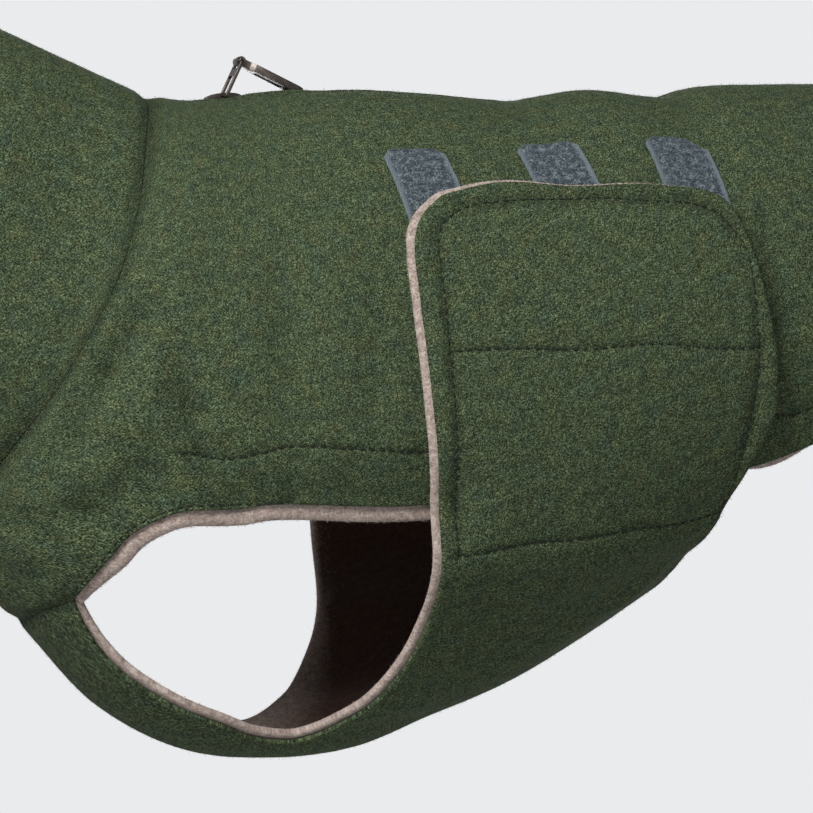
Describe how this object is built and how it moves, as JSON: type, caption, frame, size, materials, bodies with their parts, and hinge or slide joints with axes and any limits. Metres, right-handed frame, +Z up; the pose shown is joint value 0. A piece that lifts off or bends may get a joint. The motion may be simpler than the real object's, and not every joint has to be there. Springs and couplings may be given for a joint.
{
  "type": "dog winter coat",
  "caption": "Hollow worn dog coat of felted wool with fleece lining, tall collar, open leg holes, chest strap, belly panel with closing flaps over the back, and a back zip.",
  "frame": {"origin": "where the lining rests on the wearer's withers, on the back line just ahead of the zip's front end", "axes": "+X towards the tail, +Y to the wearer's right, +Z up"},
  "size_m": [0.481, 0.1676, 0.2458],
  "materials": {
    "wool": "felted wool, brushed, green mixed with brown and grey fibres",
    "fleece": "taupe microfleece",
    "loop": "grey-blue loop tape with woven edges",
    "zip_tape": "woven polyester",
    "zip_teeth": "nylon coil",
    "gunmetal": "dark gunmetal plating, worn at the edges"
  },
  "bodies": {
    "coat": {"back_left": "wool", "back_right": "wool", "back_lining_left": "fleece", "back_lining_right": "fleece", "collar_left": "wool", "collar_right": "wool", "collar_lining_left": "fleece", "collar_lining_right": "fleece", "belly_panel": "wool", "belly_lining": "fleece", "loop_tape_left_1": "loop", "loop_tape_left_2": "loop", "loop_tape_left_3": "loop", "loop_tape_right_1": "loop", "loop_tape_right_2": "loop", "loop_tape_right_3": "loop", "zip_tape_left": "zip_tape", "zip_tape_right": "zip_tape", "zip_chain": "zip_teeth", "zip_slider": "gunmetal"},
    "pull_link": {"pull_link": "gunmetal"},
    "pull_tab": {"pull_tab": "gunmetal"}
  },
  "joints": [
    {"name": "link_swing", "type": "hinge", "parent": "coat", "child": "pull_link", "pos_m": [0.01185, 0, 0.00615], "axis": [0, 1, 0], "range_deg": [-80, 0]},
    {"name": "tab_swing", "type": "hinge", "parent": "pull_link", "child": "pull_tab", "pos_m": [0.01747, 0, 0.01821], "axis": [0, 1, 0], "range_deg": [-120, 0]}
  ]
}
